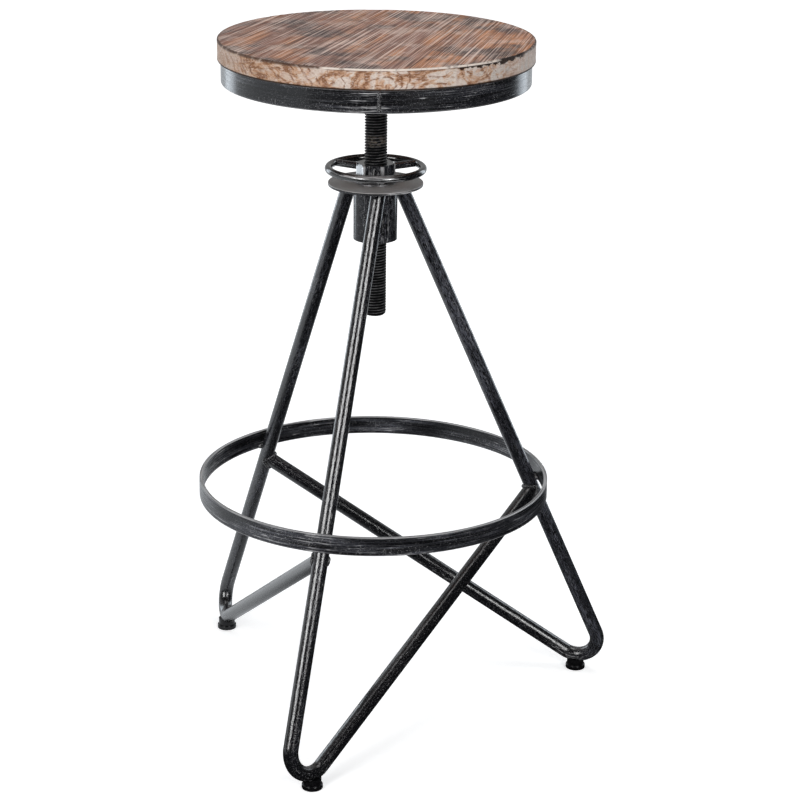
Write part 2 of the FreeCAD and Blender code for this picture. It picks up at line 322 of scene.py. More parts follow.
def lengthwise(web, lie):
    """Coordinates for streaks, fine across a piece and slow along it: a maker of a vector and a w."""
    if lie == "tube":
        x, y, _ = web.split(web.attribute("section", "Vector"))
        z = web.attribute("along", "Fac")
    else:
        x, y, z = web.split(web.place())
    if lie == "ring":
        r = web.hypot(x, y)
        return lambda fine, slow: (web.scaled((r, z, x), (fine, fine, slow)), web.times(y, slow))
    if lie == "solid":
        return lambda fine, slow: (web.scaled((x, y, z), (fine, fine, fine)), None)
    return lambda fine, slow: (web.scaled((x, y, z), (fine, fine, slow)), None)


def facing(web, degrees, start, full):
    """1 on the side of the axis that faces an angle, fading between two half widths in degrees."""
    way = web.vector("NORMALIZE", web.vector("MULTIPLY", web.place(), (1.0, 1.0, 0.0)))
    near = web.vector("DOT_PRODUCT", way, polar(1.0, degrees, 0.0))
    return web.step(near, math.cos(math.radians(start)), math.cos(math.radians(full)))


def rubbed_black(name, lie, rub=0.5, rough=0.3, gloss=0.4, haze=0.5, grain=0.7,
                 edge_highlights=(), scuffs=(), lid=None, corners=None):
    """Black paint, rubbed back to silver in streaks that run along the piece.

    Edges with a painted highlight are given as (height, reach, amount), silver bands broken like worn paint,
    worn sides are scuffs (angle, half width, amount), a paler top, lightened as painted light, is a lid
    (height, colour), and corners are worn between two radii.
    """
    _, colours, _ = settings()
    material, web, shader = new_material(name)
    x, y, z = web.split(web.place())
    streaks = lengthwise(web, lie)
    stroke = 90.0 if lie == "ring" else 160.0
    sets = ((1150.0, stroke), (1000.0, 14.0), (70.0, 13.0))
    fine, middle, area = [
        web.noise(vector, detail=2.0, w=w) for vector, w in (streaks(*scales) for scales in sets)]
    spots = web.noise(web.place(), scale=900.0, detail=1.0, rough=0.7)
    strokes = middle if lie == "ring" else fine
    thin_paint_and_shade = web.times(web.step(area, 0.36, 0.66, 0.15, 1.0), web.step(strokes, 0.42, 0.6, 0.02, 1.0))
    worn = web.times_plus(fine, 0.7, web.times(area, 0.45))
    worn = web.times_plus(middle, 0.9, worn)
    if lie == "tube":
        along = web.attribute("along", "Fac")
        worn = web.plus(worn, web.step(web.apart(along, BEND_AT), 0.05, 0.01, 0.0, 0.1))
        # painted shade: on a leg the grey paint fades out towards the foot, so the lower tube reads darker,
        # as if less lit
        thin_paint_and_shade = web.times(thin_paint_and_shade, web.step(along, 0.58, 0.67, 1.0, 0.05))
    for degrees, width, amount in scuffs:
        worn = web.times_plus(facing(web, degrees, width, width * 0.3), amount, worn)

    least_rub, by_rub, fade = 1.24, 0.16, 0.2
    start = least_rub - by_rub * rub
    full = start + fade
    silver = web.plus(web.step(worn, start, full, 0.0, 0.35), web.step(worn, start + 0.08, full, 0.0, 0.65))
    dots = web.times(web.step(spots, 0.6, 0.68), web.step(area, 0.42, 0.62, 0.15, 0.3 + 0.6 * rub))
    silver = web.highest(silver, web.times(dots, 0.55))
    # painted highlights along edges: silver near each given height, broken into streaks
    for level, reach, amount in edge_highlights:
        near = web.step(web.apart(z, level), 0.0, reach, amount, 0.0)
        silver = web.highest(silver, web.times(near, web.step(middle, 0.38, 0.58, 0.15, 1.0)))
    if corners:
        edge = web.times(web.step(web.hypot(x, y), *corners), web.step(area, 0.4, 0.55, 0.35, 0.9))
        silver = web.highest(silver, edge)

    tone = web.mix(web.times(thin_paint_and_shade, haze), colours.paint, colours.haze)
    # a paler top: grey steel, lightened as painted light against the shade it sits in
    if lid:
        height, top_grey_lightened = lid
        tone = web.mix(web.step(z, height - 0.0009, height - 0.0004), tone, top_grey_lightened)
    web.feed(shader, {
        "Base Color": web.mix(silver, tone, colours.rubbed),
        "Metallic": web.times(silver, 0.35),
        "Roughness": web.step(worn, 0.8, 1.35, rough - 0.03, rough + 0.1),
        "Normal": web.bump(web.times_plus(spots, 0.5, fine), grain * rough, 0.0003),
        "Specular IOR Level": gloss})
    return material


def black_thread(name):
    """Blackened screw thread with crests painted bright, as worn steel and as painted highlights, and brown
    flakes where the nut has run.
    """
    sizes, colours, _ = settings()
    material, web, shader = new_material(name)
    x, y, z = web.split(web.place())
    patch = web.noise(web.place(), scale=160.0, detail=3.0, rough=0.6)
    flakes = web.noise(web.place(), scale=420.0, detail=2.0, rough=0.6)
    # crests: silver that stands for worn crests and for painted highlights on the turns
    crest = web.times(web.step(web.hypot(x, y), *THREAD_CREST), web.step(patch, 0.35, 0.66, 0.05, 0.24))
    run = web.step(web.apart(z, sizes.worn_height), 0.008, 0.003)
    brown = web.times(run, web.step(flakes, 0.46, 0.64, 0.0, 0.55))
    tone = web.mix(brown, tint(colours.paint, 0.5), (0.2, 0.17, 0.14))
    web.feed(shader, {
        "Base Color": web.mix(crest, tone, colours.rubbed),
        "Metallic": web.times(crest, 0.5),
        "Roughness": web.step(patch, 0.3, 0.7, 0.42, 0.58),
        "Normal": web.bump(patch, 0.15, 0.0004),
        "Specular IOR Level": 0.1})
    return material


def bare_steel(name):
    """Plain turned steel of the washer and the wood screws."""
    material, web, shader = new_material(name)
    swirl = web.noise(web.scaled(web.split(web.place()), (300.0, 300.0, 2400.0)), rough=0.6)
    web.feed(shader, {
        "Base Color": web.mix(web.step(swirl, 0.3, 0.7), (0.2, 0.2, 0.21), (0.48, 0.48, 0.49)),
        "Metallic": 1.0,
        "Roughness": web.step(swirl, 0.2, 0.8, 0.26, 0.46),
        "Normal": web.bump(swirl, 0.1, 0.0003)})
    return material


def moulded_plastic(name, low, high, rough):
    """Plastic between two tones, a little rougher where it is paler."""
    material, web, shader = new_material(name)
    haze = web.noise(web.place(), scale=260.0, detail=4.0, rough=0.6)
    pits = web.noise(web.place(), scale=2600.0, detail=2.0, rough=0.6)
    web.feed(shader, {
        "Base Color": web.mix(web.step(haze, 0.3, 0.75), low, high),
        "Roughness": web.step(haze, 0.3, 0.75, rough, rough + 0.14),
        "Normal": web.bump(pits, 0.06, 0.0002),
        "Specular IOR Level": 0.4})
    return material


def stained_plank(name):
    """Brushed softwood: growth rings through the board, washed brown stain on top, limed edge."""
    sizes, colours, _ = settings()
    material, web, shader = new_material(name)
    turn = web.add("ShaderNodeMapping", {"Vector": web.place(), "Rotation": (0.0, 0.0, -sizes.grain_angle)},
                   vector_type="POINT").outputs[0]
    u, v, z = web.split(turn)
    width = sizes.seat_radius / 2
    board = web.math("FLOOR", web.math("DIVIDE", v, width))
    scatter = web.math("SINE", web.times_plus(board, 12.9898, 4.1))
    shift = web.math("FRACT", web.times(scatter, 43.758))
    own = web.times_plus(shift, 3.0, u)
    fan = web.times(v, web.times_plus(u, 0.55, 1.0))

    def grain(along, across, deep, detail=3.0, rough=0.55):
        return web.noise(web.scaled((own, fan, z), (along, across, deep)), 1.0, detail, rough)

    def coats(under, *layers):
        """Lay washes over a colour: each has a mask, a strength and a colour."""
        for mask, strength, colour in layers:
            under = web.mix(web.times(mask, strength), under, colour)
        return under

    # growth rings round a heart that lies under each board, a little to its side
    middle = web.times(web.plus(board, 0.5), width)
    sway = web.times_plus(grain(along=4.0, across=24.0, deep=30.0), 0.05, -0.025)
    side = web.plus(web.minus(v, middle), web.times_plus(shift, 0.06, -0.03))
    side = web.plus(side, sway)
    depth = web.plus(web.minus(z, SEAT_LOW - 0.02), web.times(shift, -0.03))
    depth = web.times_plus(sway, 0.4, depth)
    rings = web.math("FRACT", web.times(web.hypot(side, depth), RINGS_PER_METRE))
    late = web.times(web.step(rings, 0.35, 0.93), web.step(rings, 1.0, 0.94))

    # top: stain, clouds of wash, dark and limed pores
    cloud, mist, zone = [
        web.noise(turn, scale, rough=0.58, w=w) for scale, w in ((19.0, 0.3), (34.0, 5.1), (13.0, 2.2))]
    lines = grain(along=4.5, across=640.0, deep=30.0, detail=2.0, rough=0.6)
    pale = grain(along=2.4, across=420.0, deep=20.0, detail=1.0)
    hairs = grain(along=14.0, across=950.0, deep=60.0, detail=1.0, rough=0.6)
    ragged = web.times_plus(lines, 0.2, web.times_plus(pale, 0.25, -0.225))
    stain = web.plus(grain(along=5.5, across=30.0, deep=8.0, detail=2.0), ragged)
    cloud = web.times_plus(ragged, 0.6, cloud)
    right = web.step(web.split(web.place())[0], -0.15, 0.1, -0.11, 0.06)
    top = coats(
        colours.wood_brown,
        (web.step(web.plus(stain, right), 0.41, 0.63), 0.9, colours.wood_orange),
        (web.step(cloud, 0.46, 0.62), 0.9, colours.wood_slate),
        (web.step(mist, 0.5, 0.68), 0.45, colours.wood_chalk),
        (web.step(lines, 0.47, 0.36), 0.62, colours.wood_dark),
        (web.step(hairs, 0.46, 0.34), 0.72, colours.wood_dark),
        (web.step(hairs, 0.54, 0.66), 0.5, colours.wood_chalk),
        (web.step(lines, 0.55, 0.66), web.step(zone, 0.4, 0.6, 0.45, 0.9), colours.wood_chalk),
        (web.step(pale, 0.6, 0.67), web.step(zone, 0.42, 0.58, 0.15, 0.9), colours.wood_chalk))

    # edge: flames, growth rings where the grain ends, fibres and pores
    end = web.highest(*[facing(web, degrees, start=74.0, full=36.0) for degrees in (264.0, 84.0)])
    mottle = web.noise(turn, scale=110.0, detail=4.0, rough=0.65)
    whorl = web.join(u, v, web.times(z, 1.9))
    flame = web.times_plus(mottle, 0.25, web.noise(whorl, scale=34.0, detail=4.0, rough=0.6, warp=1.6))
    upright = web.noise(web.scaled((u, v, z), (260.0, 260.0, 18.0)))
    fibres = web.noise(web.scaled((u, v, z), (150.0, 150.0, 900.0)), rough=0.65)
    pores = web.noise(web.scaled((u, v, z), (380.0, 380.0, 1200.0)), detail=2.0, rough=0.6)
    arcs = web.times(web.step(late, 0.4, 0.95), web.step(mottle, 0.42, 0.56))
    # its upper corner: dark crust, a painted highlight along the front of the top edge, and a split
    low = web.minus(SEAT_HIGH, z)
    crust = web.times(web.step(low, 0.001, 0.0034, 1.0, 0.0), web.step(flame, 0.48, 0.62))
    # painted highlight: a pale line along the top edge on the side that faces the front
    painted_edge_highlight = web.times(facing(web, 284.5, start=35.0, full=32.0), web.step(low, 0.0021, 0.0013))
    painted_edge_highlight = web.times(painted_edge_highlight, web.step(mottle, 0.36, 0.5, 0.35, 1.0))
    reach = web.times_plus(mottle, 0.016, -0.0045)
    split = web.times(web.step(web.minus(reach, low), -0.0004, 0.0004), web.minus(1.0, painted_edge_highlight))
    # near-black for the split, and for the painted shadow along the bottom of the edge
    bright, crack_and_shadow_dark = tint(colours.edge_cream, 1.25), tint(colours.wood_dark, 0.3)
    edge = coats(
        web.mix(end, tint(colours.edge_cream, 0.75), colours.edge_cream),
        (facing(web, 212.0, start=48.0, full=20.0), 0.4, colours.edge_tan),
        (facing(web, 340.0, start=40.0, full=15.0), 0.5, (0.46, 0.45, 0.44)),
        (web.step(mottle, 0.42, 0.68), 0.3, tint(colours.wood_chalk, 0.85)),
        (web.step(upright, 0.48, 0.68), 0.3, colours.wood_brown),
        (web.step(flame, 0.57, 0.68), web.times_plus(end, 0.7, 0.2), colours.edge_tan),
        (web.step(flame, 0.66, 0.75), web.times_plus(end, 0.7, 0.1), colours.edge_rust),
        (web.times(arcs, end), 0.85, colours.edge_rust),
        (web.step(fibres, 0.52, 0.7), 0.35, colours.edge_rust),
        (web.step(fibres, 0.45, 0.3), 0.5, colours.edge_cream),
        (web.step(pores, 0.46, 0.32), 0.35, colours.edge_rust),
        (web.step(pores, 0.54, 0.68), 0.4, bright),
        (crust, 0.85, colours.wood_dark),
        (painted_edge_highlight, 1.0, bright),
        (web.times(split, facing(web, 316.0, start=20.0, full=16.0)), 0.95, crack_and_shadow_dark),
        # painted shadow: a dark band along the bottom of the edge, where the seat overhangs the hoop
        (web.step(web.minus(z, SEAT_LOW), 0.0024, 0.0014), 0.95, crack_and_shadow_dark))

    outside = web.step(web.hypot(u, v), sizes.seat_radius - 0.0022, sizes.seat_radius - 0.0012)
    relief = web.times_plus(lines, -0.8, web.times(hairs, -0.6))
    web.feed(shader, {
        "Base Color": web.mix(outside, top, edge),
        "Roughness": web.step(hairs, 0.3, 0.7, 0.5, 0.66),
        "Normal": web.bump(relief, 0.35, 0.0007),
        "Specular IOR Level": 0.08})
    return material


def geometry_tree(name, inputs):
    """An empty node tree with a geometry in and out and the named inputs."""
    tree = bpy.data.node_groups.new(name, "GeometryNodeTree")
    tree.interface.new_socket("Geometry", in_out="INPUT", socket_type="NodeSocketGeometry")
    for label, kind in inputs.items():
        tree.interface.new_socket(label, in_out="INPUT", socket_type="NodeSocket" + kind)
    tree.interface.new_socket("Geometry", in_out="OUTPUT", socket_type="NodeSocketGeometry")
    web = Web(tree)
    return tree, web, web.add("NodeGroupInput").outputs, web.add("NodeGroupOutput").inputs


def close_tree(web, shape, material, out):
    """Make a shape plain geometry, smooth it, give it its material and hand it out."""
    whole = web.add("GeometryNodeRealizeInstances", {"Geometry": shape}).outputs[0]
    soft = web.add("GeometryNodeSetShadeSmooth", {"Geometry": whole}).outputs[0]
    done = web.add("GeometryNodeSetMaterial", {"Geometry": soft, "Material": material}).outputs[0]
    web.tree.links.new(done, out[0])


def tube_tree():
    """A round tube swept along a cornered line, its corners bent to a radius."""
    tree, web, given, out = geometry_tree("Bent tube", {
        "Tube Radius": "Float", "Bend Radius": "Float", "Bend Steps": "Int", "Sides": "Int",
        "Material": "Material"})
    line = web.add("GeometryNodeMeshToCurve", {"Mesh": given["Geometry"]}).outputs[0]
    bent = web.add("GeometryNodeFilletCurve", {
        "Curve": line, "Radius": given["Bend Radius"], "Count": given["Bend Steps"]}, mode="POLY")
    length = web.add("GeometryNodeSplineParameter").outputs["Length"]
    path = web.add("GeometryNodeStoreNamedAttribute", {
        "Geometry": bent.outputs[0], "Name": "along", "Value": length}, data_type="FLOAT", domain="POINT")
    circle = web.add("GeometryNodeCurvePrimitiveCircle", {
        "Resolution": given["Sides"], "Radius": given["Tube Radius"]})
    ring = web.add("GeometryNodeStoreNamedAttribute", {
        "Geometry": circle.outputs[0], "Name": "section"}, data_type="FLOAT_VECTOR", domain="POINT")
    spot = web.add("GeometryNodeInputPosition").outputs[0]
    web.tree.links.new(spot, next(s for s in ring.inputs if s.name == "Value" and s.enabled))
    swept = web.add("GeometryNodeCurveToMesh", {
        "Curve": path.outputs[0], "Profile Curve": ring.outputs[0], "Fill Caps": True}).outputs[0]
    close_tree(web, swept, given["Material"], out)
    return tree


def bead_tree():
    """Overlapping flat drops along a line, like the ripples of a weld."""
    tree, web, given, out = geometry_tree("Weld bead", {
        "Bead Radius": "Float", "Spacing": "Float", "Seed": "Int", "Material": "Material"})
    line = web.add("GeometryNodeMeshToCurve", {"Mesh": given["Geometry"]}).outputs[0]
    points = web.add("GeometryNodeCurveToPoints", {"Curve": line, "Length": given["Spacing"]}, mode="LENGTH")
    drop = web.add("GeometryNodeMeshUVSphere", {
        "Segments": DROP_SEGMENTS, "Rings": DROP_RINGS, "Radius": given["Bead Radius"]}).outputs[0]
    size = web.add("FunctionNodeRandomValue", {"Seed": given["Seed"]}, data_type="FLOAT")
    floats = [s for s in size.inputs if s.type == "VALUE" and s.enabled]
    floats[0].default_value, floats[1].default_value = DROP_SIZES
    random = next(s for s in size.outputs if s.enabled)
    many = web.add("GeometryNodeInstanceOnPoints", {
        "Points": points.outputs["Points"], "Instance": drop, "Rotation": points.outputs["Rotation"],
        "Scale": web.join(random, random, DROP_HEIGHT)})
    close_tree(web, many.outputs[0], given["Material"], out)
    return tree


def line_mesh(name, lines):
    """A mesh of bare edges: each line is a list of points and whether it closes."""
    points, edges = [], []
    for line, closed in lines:
        base = len(points)
        points += [tuple(p) for p in line]
        edges += [(base + i, base + i + 1) for i in range(len(line) - 1)]
        if closed:
            edges.append((base + len(line) - 1, base))
    mesh = bpy.data.meshes.new(name)
    mesh.from_pydata(points, edges, [])
    return put(name, mesh)


def grow(piece, tree, values):
    """Run a tree on a piece with named values and keep the result as its plain mesh."""
    modifier = piece.modifiers.new(tree.name, "NODES")
    modifier.node_group = tree
    for item in tree.interface.items_tree:
        if item.in_out == "INPUT" and item.name in values:
            modifier[item.identifier] = values[item.name]
    graph = bpy.context.evaluated_depsgraph_get()
    mesh = bpy.data.meshes.new_from_object(piece.evaluated_get(graph), depsgraph=graph)
    piece.modifiers.remove(modifier)
    old = piece.data
    mesh.name = piece.name
    piece.data = mesh
    bpy.data.meshes.remove(old)
    if not mesh.polygons:
        raise RuntimeError("nothing was made for " + piece.name)


def stand_for(piece, body, slot, *nodes):
    """Let a new piece ride on a body in place of CAD pieces."""
    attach(piece, body)
    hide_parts(*nodes)


def paint(material, *names):
    """Give CAD pieces that keep their shape a finish."""
    for name in names:
        for slot in NODES[name].material_slots:
            slot.material = material


def leg_lines(number):
    """Top, corner and arm end of one leg's centre line."""
    sizes, _, _ = settings()
    ends = [polar(*sizes.leg_top), polar(*sizes.leg_corner), polar(*sizes.leg_joint)]
    return [turned(p, number * 360.0 / LEGS) for p in ends]


def leg_touch(number):
    """Angle at which a leg passes the lower edge of the footrest ring."""
    top, corner, _ = leg_lines(number)
    touch = corner.lerp(top, (RING_LOW - corner.z) / (top.z - corner.z))
    return math.degrees(math.atan2(touch.y, touch.x))


class STOOL_OT_legs(bpy.types.Operator):
    """Bent leg tubes, each with its arm up to the next leg"""

    bl_idname = "stool.legs"
    bl_label = "Legs"

    haze = (0.25, 1.8, 0.7)  # how much grey brushed paint each leg (front, right, left) shows; the legs are alike, and the shares differ only as painted sheen and shade, for how the lamps fall on each
    overrun = 0.03  # length drawn past a leg's top, before it is trimmed
    trim_share = 0.3  # how far up the plate's thickness the tube ends
    bend_steps = 40
    sides = 56
    sharp = math.radians(50)

    def execute(self, context):
        sizes, _, _ = settings()
        tree = tube_tree()
        for number in range(LEGS):
            top, corner, end = leg_lines(number)
            over = top + (top - corner).normalized() * self.overrun
            material = rubbed_black(f"leg paint {number + 1}", "tube", rub=0.2, rough=0.13, gloss=1.0,
                                    haze=self.haze[number], grain=4.0)
            piece = line_mesh(f"bent_leg_{number + 1}", [([over, corner, end], False)])
            grow(piece, tree, {
                "Tube Radius": sizes.tube_radius, "Bend Radius": sizes.bend_radius,
                "Bend Steps": self.bend_steps, "Sides": self.sides, "Material": material})
            self.trim(piece.data)
            stand_for(piece, "frame", "steel", f"leg_tube_{number + 1}")
        return {"FINISHED"}

    def trim(self, mesh):
        """Cut the tube flat inside the plate's thickness and close it."""
        work = bmesh.new()
        work.from_mesh(mesh)
        level = Vector((0, 0, lerp(PLATE_LOW, PLATE_HIGH, self.trim_share)))
        whole = work.verts[:] + work.edges[:] + work.faces[:]
        bmesh.ops.bisect_plane(work, geom=whole, plane_co=level, plane_no=(0, 0, 1), clear_outer=True)
        rim = [e for e in work.edges if e.is_boundary]
        bmesh.ops.holes_fill(work, edges=rim, sides=0)
        work.to_mesh(mesh)
        work.free()
        mesh.set_sharp_from_angle(angle=self.sharp)


class STOOL_OT_welds(bpy.types.Operator):
    """Weld beads at the plate, the footrest, the arms and the hoop"""

    bl_idname = "stool.welds"
    bl_label = "Welds"

    rest_share, arm_share = 0.95, 0.9  # bead sizes there, as shares of the weld size
    hoop_bead = 0.0026
    top_points, top_skin, top_drop = 48, 0.0006, 0.0008  # off the tube's skin, below the plate
    arm_points, arm_skin = 56, 0.0005
    rest_inset, rest_rise, rest_step = 0.0012, 0.0028, 1.2  # inside the ring, above its edge, degrees
    bar_inset, bar_drop, bar_step = 0.0048, 0.0002, 2.3  # inside the hoop, below the bar, degrees
    seam_angle, seam_points = 271.0, 11
    seam_inset, seam_rise, seam_step = 0.0016, 0.0026, 0.0018  # inside the hoop, above its edge, upwards

    def execute(self, context):
        sizes, _, _ = settings()
        # much silver on the beads: rubbed paint, and painted glints on the bead edges
        self.material = rubbed_black("weld paint", "solid", rub=1.0, rough=0.18, gloss=1.0)
        self.tree = bead_tree()
        tops, rests, arms = [], [], []
        for number in range(LEGS):
            top, corner, end = leg_lines(number)
            next_top, next_corner, _ = leg_lines(number + 1)
            tops.append((self.round_top(top, corner), True))
            rests.append((self.at_footrest(number), False))
            arms.append((self.round_arm(corner, end, next_top, next_corner), True))
        self.run("plate_weld_beads", tops, sizes.weld_radius, "frame", "leg_plate_welds", seed=3)
        self.run("footrest_weld_beads", rests, sizes.weld_radius * self.rest_share,
                 "frame", "footrest_welds", seed=5)
        self.run("arm_weld_beads", arms, sizes.weld_radius * self.arm_share, "frame", "arm_welds", seed=8)
        self.run("hoop_weld_beads", self.at_hoop(), self.hoop_bead, "seat", "seat_frame_welds", seed=11)
        return {"FINISHED"}

    def run(self, name, lines, radius, body, node, seed):
        """One piece with beads along all the lines."""
        piece = line_mesh(name, lines)
        grow(piece, self.tree, {
            "Bead Radius": radius, "Spacing": radius * DROP_SPACING, "Seed": seed,
            "Material": self.material})
        stand_for(piece, body, "weld", node)

    def round_top(self, top, corner):
        """Where the tube's skin meets the plate."""
        sizes, _, _ = settings()
        up = (top - corner).normalized()
        ring = []
        for way in spread(up, self.top_points):
            start = corner + way * (sizes.tube_radius + self.top_skin)
            ring.append(start + up * ((PLATE_LOW - self.top_drop - start.z) / up.z))
        return ring

    def short_run(self, radius, angle, height, step):
        """Five points along a circle, to both sides of an angle."""
        return [polar(radius, angle + step * k, height) for k in (-2, -1, 0, 1, 2)]

    def at_footrest(self, number):
        """A short run in the corner between the leg and the ring's lower edge."""
        return self.short_run(ring_inner() - self.rest_inset, leg_touch(number),
                              RING_LOW + self.rest_rise, self.rest_step)

    def round_arm(self, corner, end, next_top, next_corner):
        """Where the arm's skin meets the next leg's skin."""
        sizes, _, _ = settings()
        back = (corner - end).normalized()
        up = (next_top - next_corner).normalized()
        reach = sizes.tube_radius + self.arm_skin
        flat = back - up * back.dot(up)
        ring = []
        for way in spread(back, self.arm_points):
            out = way * reach
            off = out - up * out.dot(up)
            b = off.dot(flat) / flat.length_squared
            c = (off.length_squared - reach * reach) / flat.length_squared
            ring.append(end + out + back * (math.sqrt(max(b * b - c, 0.0)) - b))
        return ring

    def at_hoop(self):
        """The hoop's upright seam and the ends of the cross bars under the seat."""
        sizes, _, _ = settings()
        bar_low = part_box("cross_bar")[0][2]
        low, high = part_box("seat_hoop")
        radius = (high[0] - low[0]) / 2
        heights = [HOOP_LOW + self.seam_rise + k * self.seam_step for k in range(self.seam_points)]
        seam = [polar(radius - self.seam_inset, self.seam_angle, height) for height in heights]
        lines = [(seam, False)]
        for quarter in range(4):
            angle = math.degrees(sizes.grain_angle) + 90 * quarter
            end = self.short_run(radius - self.bar_inset, angle, bar_low - self.bar_drop, self.bar_step)
            lines.append((end, False))
        return lines


def ring_inner():
    """Inner radius of the footrest ring."""
    low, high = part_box("footrest_ring")
    return (high[0] - low[0]) / 2 - BAR_THICKNESS


class STOOL_OT_seat_boards(bpy.types.Operator):
    """Seat boards with a brushed top and a worn outer edge"""

    bl_idname = "stool.seat_boards"
    bl_label = "Seat boards"

    seams = (-90, -30, 0, 30, 90)  # angles on the rim at which the boards begin and end
    pole = 89.7  # the outermost rows stop here
    fan = (42, 72)  # angles between which the rows turn from straight to radial
    row_degrees = 0.3
    columns = 60
    round_steps = 5
    wall_shares = (0.2, 0.4, 0.6, 0.8)
    rounding = (0.0009, 0.0008, 0.0012)  # radius of the top edge: least, more by wear, more by chips
    wear_scale, chip_scale, chip_range = 7.0, 16.0, (0.25, 0.6)
    wall_inset, wall_wave = 0.0002, 0.00022
    wave_around, wave_up = 11, 160
    brush = ((9, 260, 1.7, 0.00016), (14, 620, 5.2, 0.00012))  # along, across, place and depth of strokes
    foot = 0.0009  # bevel of the bottom edge
    seam_depth = 0.0004
    sharp = math.radians(48)

    def execute(self, context):
        self.sizes, _, _ = settings()
        material = stained_plank("stained plank")
        for number, (start, end) in enumerate(zip(self.seams, self.seams[1:]), 1):
            piece = self.board(f"plank_{number}", start, end)
            piece.data.materials.append(material)
            stand_for(piece, "seat", "plank", f"seat_board_{number}")
        return {"FINISHED"}

    def edge(self, angle):
        """How far the top edge is rounded at a place on the rim."""
        spot = Vector((math.cos(angle), math.sin(angle), 0.0))
        wear = 0.5 + 0.5 * noise.noise(spot * self.wear_scale)
        chips = ease(noise.noise(spot * self.chip_scale + Vector((3.1, 0, 0))), *self.chip_range)
        least, by_wear, by_chips = self.rounding
        return least + by_wear * wear + by_chips * chips

    def rim_point(self, theta, side, inset, z):
        """A point of the rim on the row at theta; the rows stay straight near the seams."""
        radius = self.sizes.seat_radius - inset
        straight = math.asin(max(-1.0, min(1.0, self.sizes.seat_radius * math.sin(theta) / radius)))
        angle = lerp(straight, theta, ease(abs(math.degrees(theta)), *self.fan))
        return Vector((side * radius * math.cos(angle), radius * math.sin(angle), z))

    def profile(self, theta, side):
        """Rim points from the top edge down to the bottom edge."""
        around = theta if side > 0 else math.pi - theta
        size = self.edge(around)
        foot = self.foot
        points = []
        for k in range(self.round_steps + 1):
            a = math.pi / 2 * k / self.round_steps
            points.append((size * (1 - math.sin(a)), SEAT_HIGH - size * (1 - math.cos(a))))
        for share in self.wall_shares:
            z = lerp(SEAT_HIGH - size, SEAT_LOW + foot, share)
            far = self.wave_around
            spot = Vector((math.cos(around) * far, math.sin(around) * far, z * self.wave_up))
            points.append((self.wall_inset + self.wall_wave * noise.noise(spot), z))
        points += [(0.0, SEAT_LOW + foot), (foot * 0.3, SEAT_LOW + foot * 0.3), (foot, SEAT_LOW)]
        return [self.rim_point(theta, side, inset, z) for inset, z in points]

    def relief(self, u, v):
        """Depth of the brushed grain at a place on the top."""
        strokes = [
            deep * max(noise.noise(Vector((u * along, v * across, place))), 0.0)
            for along, across, place, deep in self.brush]
        return sum(strokes)

    def board(self, name, start, end):
        """One closed board between two angles, made in rows along the grain and then turned."""
        count = round((end - start) / self.row_degrees)
        work = bmesh.new()
        tops, rights, lefts = [], [], []
        for j in range(count + 1):
            degrees = lerp(start, end, j / count)
            theta = math.radians(max(min(degrees, self.pole), -self.pole))
            seam = (j == 0 and start > self.seams[0]) or (j == count and end < self.seams[-1])
            right = [work.verts.new(p) for p in self.profile(theta, 1)]
            left = [work.verts.new(p) for p in self.profile(theta, -1)]
            row = [left[0]]
            for i in range(1, self.columns):
                p = left[0].co.lerp(right[0].co, i / self.columns)
                z = SEAT_HIGH - self.relief(p.x, p.y) - (self.seam_depth if seam else 0.0)
                row.append(work.verts.new((p.x, p.y, z)))
            row.append(right[0])
            tops.append(row)
            rights.append(right)
            lefts.append(left)
        for j in range(count):
            self.strip(work, tops[j], tops[j + 1])
            self.strip(work, rights[j], rights[j + 1])
            self.strip(work, lefts[j + 1], lefts[j])
            work.faces.new((lefts[j][-1], rights[j][-1], rights[j + 1][-1], lefts[j + 1][-1]))
        for j in (0, count):
            work.faces.new(tops[j] + rights[j][1:] + lefts[j][:0:-1])
        bmesh.ops.recalc_face_normals(work, faces=work.faces[:])
        bmesh.ops.triangulate(work, faces=[f for f in work.faces if len(f.verts) > 4])
        bmesh.ops.rotate(work, verts=work.verts[:], cent=(0, 0, 0),
                         matrix=Matrix.Rotation(self.sizes.grain_angle, 3, "Z"))
        mesh = bpy.data.meshes.new(name)
        work.to_mesh(mesh)
        work.free()
        mesh.shade_smooth()
        mesh.set_sharp_from_angle(angle=self.sharp)
        return put(name, mesh)

    def strip(self, work, one, two):
        """Faces between two rows of points."""
        for a, b, c, d in zip(one, one[1:], two[1:], two):
            work.faces.new((a, b, c, d))


class STOOL_OT_hoops(bpy.types.Operator):
    """Finish of the seat hoop and the footrest ring"""

    bl_idname = "stool.hoops"
    bl_label = "Hoops"

    def execute(self, context):
        # the edge bands paint highlights along the hoop's lower edge and along its top edge under the seat
        hoop = rubbed_black("hoop paint", "ring", rub=0.55, rough=0.22, gloss=0.45, haze=0.45,
                            edge_highlights=((HOOP_LOW, 0.0018, 0.5), (SEAT_LOW, 0.0012, 0.8)),
                            scuffs=((268.0, 10.0, 0.12),))
        touches = [(leg_touch(number), 7.0, 0.05) for number in range(LEGS)]
        # the edge bands paint highlights along the ring's top and bottom edges
        ring = rubbed_black("footrest paint", "ring", rub=0.75, rough=0.28, haze=0.9, scuffs=touches,
                            edge_highlights=((RING_HIGH, 0.0014, 1.0), (RING_LOW, 0.0014, 0.6)))
        paint(hoop, "seat_hoop")
        paint(ring, "footrest_ring")
        return {"FINISHED"}


